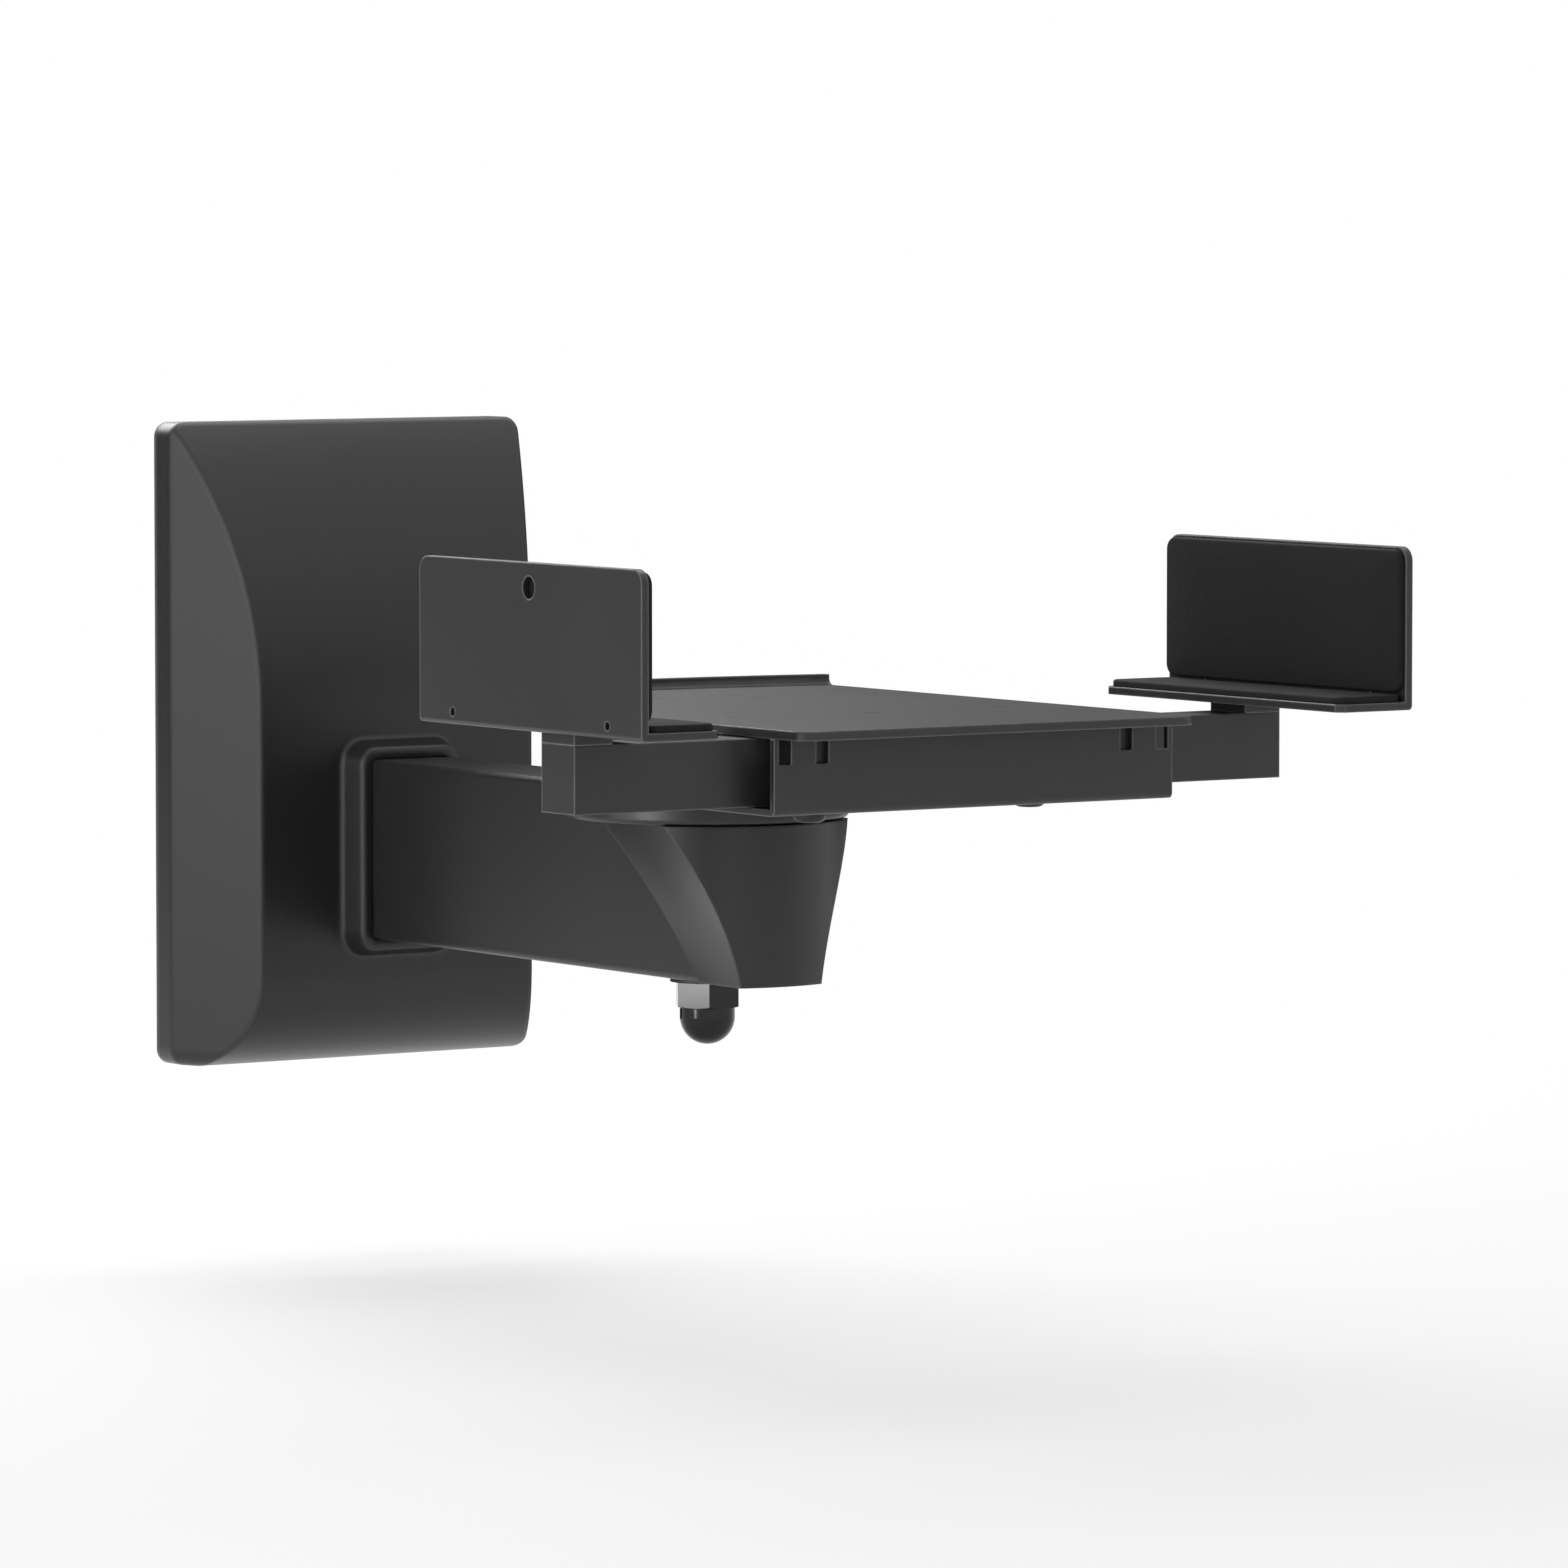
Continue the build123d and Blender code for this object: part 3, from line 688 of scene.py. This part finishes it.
@dataclass
class ArmAndHead:
    """The cast arm, the swivel head and their pivot."""

    wardrobe: Wardrobe

    def dress(self) -> None:
        """Give the arm and the pivot pieces their finishes."""
        self.wardrobe.dress_nodes(Finish.CAST, "arm", "swivel_head")
        plated = ("pivot_bolt", "tilt_bolt", "tilt_nut", "tilt_washers")
        self.wardrobe.dress_nodes(Finish.ZINC, *plated)
        self.wardrobe.dress_nodes(Finish.CHROME, "acorn_nut")
        self.wardrobe.dress_nodes(Finish.OXIDE, "nut_washer")
        self.wardrobe.dress_nodes(Finish.NYLON, "friction_washer")


@dataclass
class PlatformSet:
    """The platform with its channel, guide and fixings."""

    wardrobe: Wardrobe

    def dress(self) -> None:
        """Give the platform pieces their finishes."""
        self.wardrobe.dress_nodes(Finish.SHEET, "platform", "outer_channel", "tilt_bracket")
        self.wardrobe.dress_nodes(Finish.OXIDE, "bracket_rivets", "channel_rivets", "lock_screws")
        self.wardrobe.dress_nodes(Finish.DARK_NYLON, "guide_strip")


@dataclass
class Clamp:
    """One sliding clamp with its rail and pads."""

    wardrobe: Wardrobe
    tag: str
    inward: Vector

    def build(self) -> None:
        """Model the clamp's two pads."""
        body = f"clamp_{self.tag}"
        GripPad(self.wardrobe, f"side_pad_{self.tag}", body, self.inward).build()
        GripPad(self.wardrobe, f"base_pad_{self.tag}", body, Vector((0.0, 0.0, 1.0))).build()

    def dress(self) -> None:
        """Give the clamp's pieces their finishes."""
        tag = self.tag
        self.wardrobe.dress_nodes(Finish.SHEET, f"clamp_{tag}", f"rail_{tag}", f"rail_spacer_{tag}")
        self.wardrobe.dress_nodes(Finish.ZINC, f"rail_screws_{tag}")


@dataclass(frozen=True)
class Lamp:
    """One soft lamp: its place round the bracket, sides in metres, radiance and beam in degrees."""

    name: str
    azimuth: float
    elevation: float
    distance: float
    width: float
    height: float
    radiance: float
    beam: float = OPEN_BEAM

    @property
    def watts(self) -> float:
        """Return the power that gives the lamp's face its radiance along its axis."""
        share = 1.0 if self.beam >= OPEN_BEAM else math.radians(self.beam / 2) ** 2 / 3
        return self.radiance * math.pi * share * self.width * self.height


@dataclass(frozen=True)
class Card:
    """One card that glossy faces mirror: its place round the bracket, sides in metres and tone."""

    name: str
    azimuth: float
    elevation: float
    distance: float
    width: float
    height: float
    tone: float = 0.03


@dataclass
class Studio:
    """Floor, white surroundings, soft lamps, cards for the gloss to mirror, and the camera."""

    azimuth: float = -34.0
    elevation: float = 3.9
    distance: float = 2.6
    lens: float = 211.0
    aim_right: float = 0.034
    aim_down: float = 0.004
    floor_drop: float = 0.06
    floor_size: float = 12.0
    floor_tone: float = 0.88
    floor_lift: float = 0.6
    clear_radius: float = 0.38
    fade: float = 0.5
    ambient: float = 0.42
    sensor: float = 36.0
    clip_end: float = 50.0
    cards: tuple[Card, ...] = (
        Card("front_card", 20, 9, 1.3, 1.1, 1.0, 0.8),
        Card("rear_card", -140, 2, 1.2, 0.85, 0.7),
        Card("right_card", 116, 4, 1.3, 1.4, 0.9),
        Card("far_card", 146, 14, 5.0, 6.0, 3.4),
        Card("near_card", -34, 4, 3.3, 0.9, 0.8),
    )
    lamps: tuple[Lamp, ...] = (
        Lamp("left_lamp", -88, 10, 1.5, 1.6, 0.9, 1.4),
        Lamp("strip_lamp", -72, 6, 1.2, 0.14, 0.7, 4.0),
        Lamp("nut_lamp", -84, -5, 0.8, 0.2, 0.14, 16.0, 20.0),
        Lamp("rim_lamp", 178, 36, 1.5, 1.3, 0.6, 6.5),
        Lamp("top_lamp", 140, 62, 1.5, 1.2, 1.0, 2.2),
    )

    def toward(self, azimuth: float, elevation: float) -> Vector:
        """Return the direction from the bracket to a lamp or camera at these angles in degrees."""
        turn = math.radians(azimuth)
        rise = math.radians(elevation)
        level = math.cos(rise)
        return Vector((math.sin(turn) * level, -math.cos(turn) * level, math.sin(rise)))

    @staticmethod
    def seen(tree: bpy.types.NodeTree) -> bpy.types.NodeSocket:
        """Return a socket that is 1 for rays of sight, gloss and glass, and 0 for the rest."""
        path = tree.nodes.new("ShaderNodeLightPath")
        found = path.outputs["Is Camera Ray"]
        for name in ("Is Glossy Ray", "Is Transmission Ray"):
            either = tree.nodes.new("ShaderNodeMath")
            either.operation = "MAXIMUM"
            tree.links.new(found, either.inputs[0])
            tree.links.new(path.outputs[name], either.inputs[1])
            found = either.outputs[0]
        return found

    def surroundings(self) -> None:
        """Make a white backdrop for sight and gloss, and an even ambient light for the rest."""
        world = bpy.data.worlds.new("studio_world")
        bpy.context.scene.world = world
        world.use_nodes = True
        tree = world.node_tree
        sky = next(n for n in tree.nodes if n.type == "BACKGROUND")
        strength = tree.nodes.new("ShaderNodeMapRange")
        strength.inputs["To Min"].default_value = self.ambient
        strength.inputs["To Max"].default_value = 1.0
        tree.links.new(self.seen(tree), strength.inputs["Value"])
        tree.links.new(strength.outputs["Result"], sky.inputs["Strength"])
        sky.inputs["Color"].default_value = WHITE

    def floor(self, low: Vector, centre: Vector) -> None:
        """Lay a pale floor that fades to the white surroundings.

        Args:
            low: the bracket's lowest corner.
            centre: the bracket's middle.
        """
        Bench.clear_selection()
        bpy.ops.mesh.primitive_plane_add(
            size=self.floor_size, location=(centre.x, centre.y, low.z - self.floor_drop)
        )
        plane = bpy.context.object
        plane.name = "studio_floor"
        paint = Paint("studio_floor")
        tone = (*(self.floor_tone,) * 3, 1.0)
        paint.set(Base_Color=tone, Roughness=MATT, Specular_IOR_Level=0.0)
        glow = paint.node("ShaderNodeEmission", None, {"Color": WHITE, "Strength": 1.0})
        length = {"operation": "LENGTH"}
        reach = paint.node("ShaderNodeVectorMath", length, {0: paint.place}, "Value")
        share = paint.node(
            "ShaderNodeMapRange",
            {"clamp": True, "interpolation_type": "SMOOTHSTEP"},
            {
                "Value": reach,
                "From Min": self.clear_radius,
                "From Max": self.clear_radius + self.fade,
                "To Min": self.floor_lift,
                "To Max": 1.0,
            },
        )
        white = share * Sock(paint, self.seen(paint.tree))
        paint.overlay(white, glow)
        plane.data.materials.append(paint.material)
        plane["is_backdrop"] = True

    def stand(self, card: Card, centre: Vector) -> None:
        """Stand one card that faces the bracket and that sight passes.

        Args:
            card: the card's place and size.
            centre: the point it faces.
        """
        Bench.clear_selection()
        ray = self.toward(card.azimuth, card.elevation)
        bpy.ops.mesh.primitive_plane_add(
            size=1.0,
            location=centre + ray * card.distance,
            rotation=ray.to_track_quat("Z", "Y").to_euler(),
        )
        plane = bpy.context.object
        plane.name = card.name
        plane.scale = (card.width, card.height, 1.0)
        paint = Paint(card.name)
        paint.set(Base_Color=(card.tone,) * 3 + (1.0,), Roughness=MATT, Specular_IOR_Level=0.0)
        sight = paint.node("ShaderNodeLightPath", out="Is Camera Ray")
        paint.overlay(sight, paint.node("ShaderNodeBsdfTransparent"))
        plane.data.materials.append(paint.material)
        plane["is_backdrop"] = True

    def hang(self, lamp: Lamp, centre: Vector) -> None:
        """Hang one soft lamp that faces the bracket.

        Args:
            lamp: the lamp's place, size and radiance.
            centre: the point it faces.
        """
        data = bpy.data.lights.new(lamp.name, "AREA")
        data.shape = "RECTANGLE"
        data.size = lamp.width
        data.size_y = lamp.height
        data.energy = lamp.watts
        data.spread = math.radians(lamp.beam)
        holder = bpy.data.objects.new(lamp.name, data)
        bpy.context.scene.collection.objects.link(holder)
        ray = self.toward(lamp.azimuth, lamp.elevation)
        holder.location = centre + ray * lamp.distance
        holder.rotation_mode = "QUATERNION"
        holder.rotation_quaternion = (-ray).to_track_quat("-Z", "Y")

    def camera(self, centre: Vector) -> None:
        """Set the camera at the viewing angle, aimed at the bracket."""
        data = bpy.data.cameras.new("studio_camera")
        data.lens = self.lens
        data.sensor_width = self.sensor
        data.clip_end = self.clip_end
        camera = bpy.data.objects.new("studio_camera", data)
        bpy.context.scene.collection.objects.link(camera)
        ray = self.toward(self.azimuth, self.elevation)
        right = self.toward(self.azimuth + 90.0, 0.0)
        aim = centre + right * self.aim_right - Vector((0.0, 0.0, self.aim_down))
        camera.location = aim + ray * self.distance
        camera.rotation_mode = "QUATERNION"
        camera.rotation_quaternion = (-ray).to_track_quat("-Z", "Y")
        bpy.context.scene.camera = camera

    def build(self, low: Vector, high: Vector) -> None:
        """Build the whole studio round the bracket's box."""
        centre = (low + high) / 2
        self.surroundings()
        self.floor(low, centre)
        for card in self.cards:
            self.stand(card, centre)
        for lamp in self.lamps:
            self.hang(lamp, centre)
        self.camera(centre)
        bpy.context.scene.view_settings.view_transform = "Standard"


def main() -> None:
    """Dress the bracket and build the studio."""
    logging.basicConfig(level=logging.INFO)
    cad_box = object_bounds()
    wardrobe = Wardrobe()
    wall = WallMount(wardrobe)
    clamps = [
        Clamp(wardrobe, "left", Vector((1.0, 0.0, 0.0))),
        Clamp(wardrobe, "right", Vector((-1.0, 0.0, 0.0))),
    ]
    for built in (wall, *clamps):
        built.build()
    for dressed in (wall, ArmAndHead(wardrobe), PlatformSet(wardrobe), *clamps):
        dressed.dress()
    Studio().build(*cad_box)


if __name__ == "__main__":
    main()
